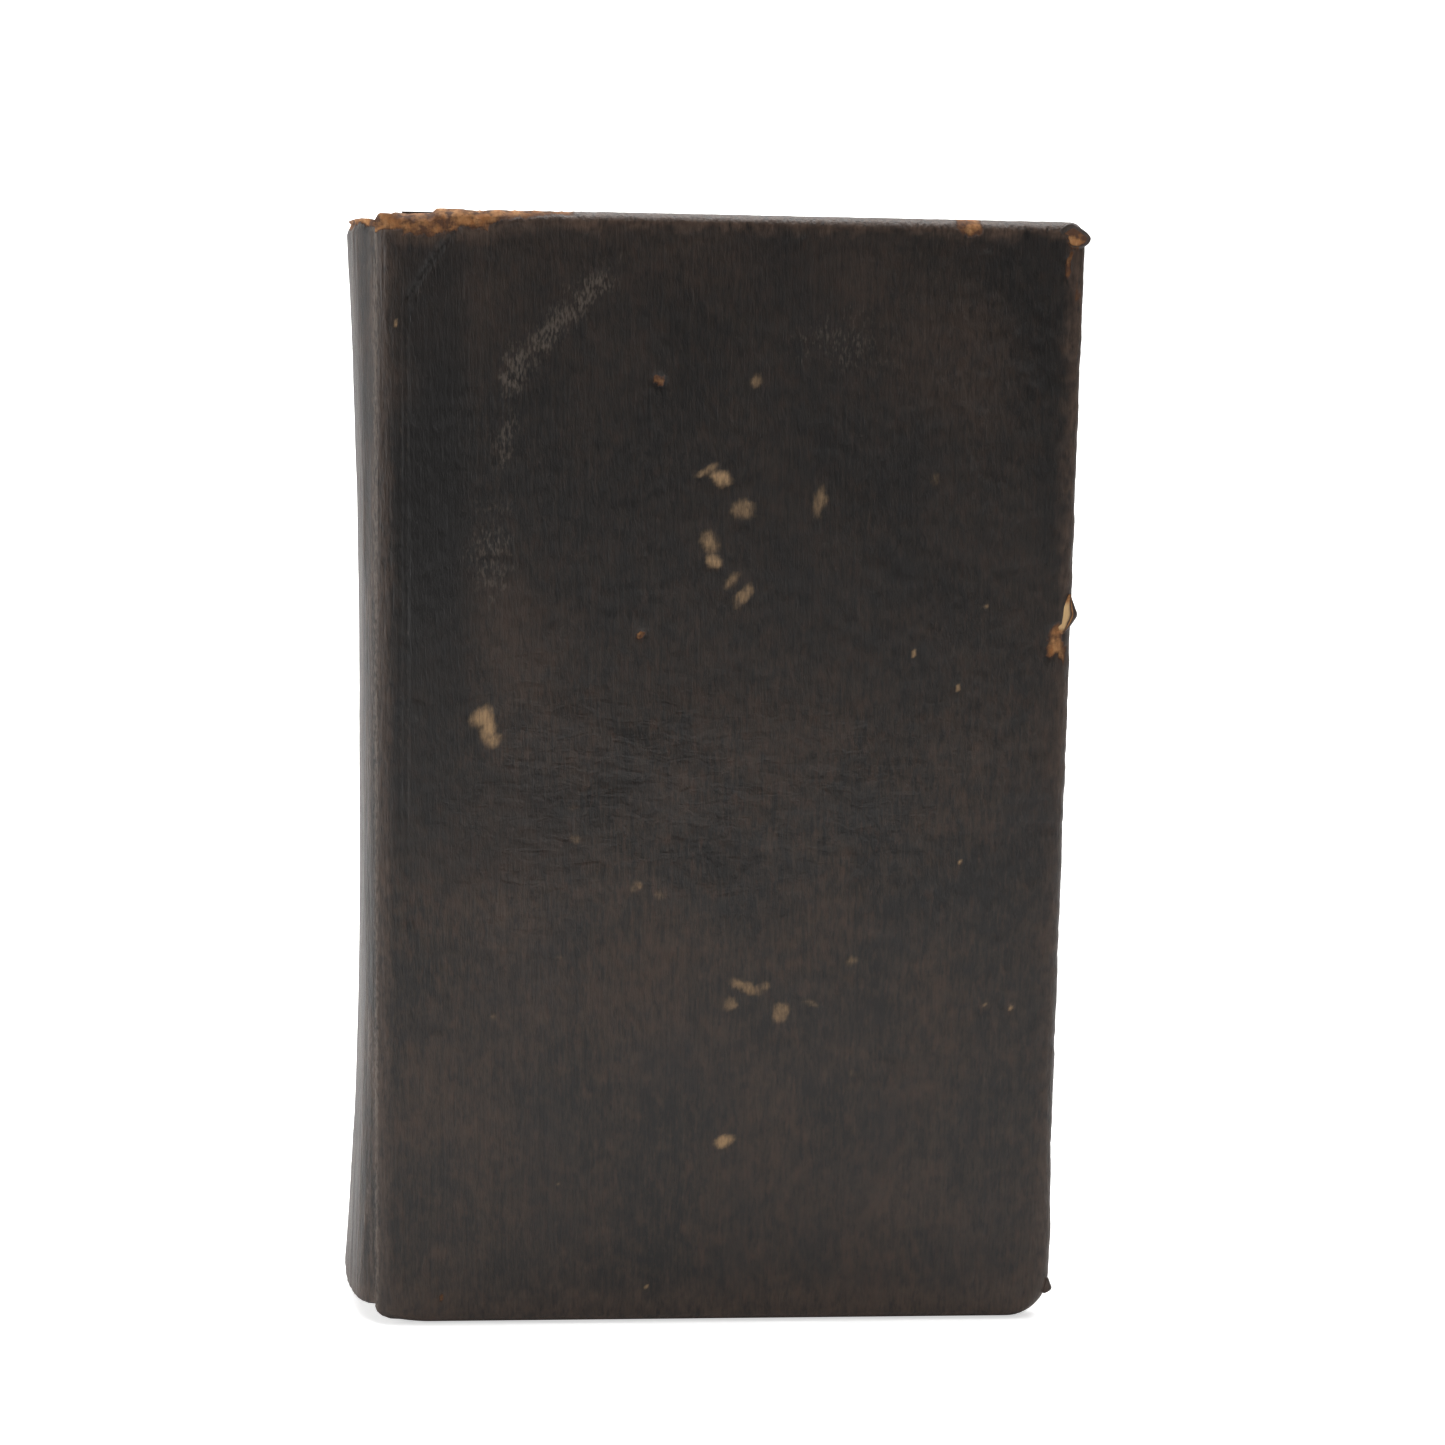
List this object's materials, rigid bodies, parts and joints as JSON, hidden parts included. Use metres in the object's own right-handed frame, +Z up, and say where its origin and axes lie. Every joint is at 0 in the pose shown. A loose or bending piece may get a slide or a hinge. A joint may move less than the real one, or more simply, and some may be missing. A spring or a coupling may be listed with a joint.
{
  "type": "prayer book",
  "caption": "Small dark leather-bound prayer book standing closed on its tail edge, with hinged covers, loose endleaves and a text block that opens at the middle.",
  "frame": {"origin": "bottom centre of the closed book, on the surface its tail edges stand on", "axes": "+X from the spine to the fore-edge, +Y from the front cover to the back cover, +Z up from tail to head"},
  "size_m": [0.115, 0.046, 0.176],
  "materials": {
    "cover_leather": "worn straight-grain leather, almost black, semi-matte, raw brown where it is torn",
    "board": "matte pasteboard",
    "text_paper": "matte aged paper",
    "endpaper": "matte aged endpaper",
    "sewing_cord": "twisted flax cord",
    "mull_cloth": "open starched cotton",
    "lining_paper": "matte brown paper",
    "endband_silk": "faded silk thread over a core"
  },
  "bodies": {
    "back_block": {"back_gathering_01": "text_paper", "back_gathering_02": "text_paper", "back_gathering_03": "text_paper", "back_gathering_04": "text_paper", "back_gathering_05": "text_paper", "back_gathering_06": "text_paper", "back_gathering_07": "text_paper", "back_gathering_08": "text_paper", "back_gathering_09": "text_paper", "back_gathering_10": "text_paper", "back_head_endband": "endband_silk", "back_mull": "mull_cloth", "back_sewing_cord_1": "sewing_cord", "back_sewing_cord_2": "sewing_cord", "back_sewing_cord_3": "sewing_cord", "back_sewing_cord_4": "sewing_cord", "back_spine_leather": "cover_leather", "back_spine_lining": "lining_paper", "back_tail_endband": "endband_silk"},
    "front_block": {"front_gathering_01": "text_paper", "front_gathering_02": "text_paper", "front_gathering_03": "text_paper", "front_gathering_04": "text_paper", "front_gathering_05": "text_paper", "front_gathering_06": "text_paper", "front_gathering_07": "text_paper", "front_gathering_08": "text_paper", "front_gathering_09": "text_paper", "front_gathering_10": "text_paper", "front_head_endband": "endband_silk", "front_mull": "mull_cloth", "front_sewing_cord_1": "sewing_cord", "front_sewing_cord_2": "sewing_cord", "front_sewing_cord_3": "sewing_cord", "front_sewing_cord_4": "sewing_cord", "front_spine_leather": "cover_leather", "front_spine_lining": "lining_paper", "front_tail_endband": "endband_silk"},
    "front_cover": {"front_board": "board", "front_cover_leather": "cover_leather", "front_pastedown": "endpaper"},
    "back_cover": {"back_board": "board", "back_cover_leather": "cover_leather", "back_pastedown": "endpaper"},
    "front_flyleaf": {"front_flyleaf": "endpaper"},
    "back_flyleaf": {"back_flyleaf": "endpaper"},
    "middle_leaf": {"middle_leaf": "text_paper"}
  },
  "joints": [
    {"name": "middle_opening", "type": "hinge", "parent": "back_block", "child": "front_block", "pos_m": [-0.0575, 0, 0.088], "axis": [0, 0, 1], "range_deg": [-90, 0]},
    {"name": "front_cover_hinge", "type": "hinge", "parent": "front_block", "child": "front_cover", "pos_m": [-0.0512, -0.022, 0.088], "axis": [0, 0, 1], "range_deg": [-140, 0]},
    {"name": "back_cover_hinge", "type": "hinge", "parent": "back_block", "child": "back_cover", "pos_m": [-0.0512, 0.022, 0.088], "axis": [0, 0, 1], "range_deg": [0, 140]},
    {"name": "front_flyleaf_turn", "type": "hinge", "parent": "front_block", "child": "front_flyleaf", "pos_m": [-0.0502, -0.01815, 0.088], "axis": [0, 0, 1], "range_deg": [-70, 0]},
    {"name": "back_flyleaf_turn", "type": "hinge", "parent": "back_block", "child": "back_flyleaf", "pos_m": [-0.0502, 0.01815, 0.088], "axis": [0, 0, 1], "range_deg": [0, 70]},
    {"name": "middle_leaf_turn", "type": "hinge", "parent": "back_block", "child": "middle_leaf", "pos_m": [-0.0575, 0, 0.088], "axis": [0, 0, 1], "range_deg": [-45, 0]}
  ],
  "couplings": [
    {"joint": "front_flyleaf_turn", "follows": "front_cover_hinge", "ratio": 0.5},
    {"joint": "back_flyleaf_turn", "follows": "back_cover_hinge", "ratio": 0.5},
    {"joint": "middle_leaf_turn", "follows": "middle_opening", "ratio": 0.5}
  ]
}
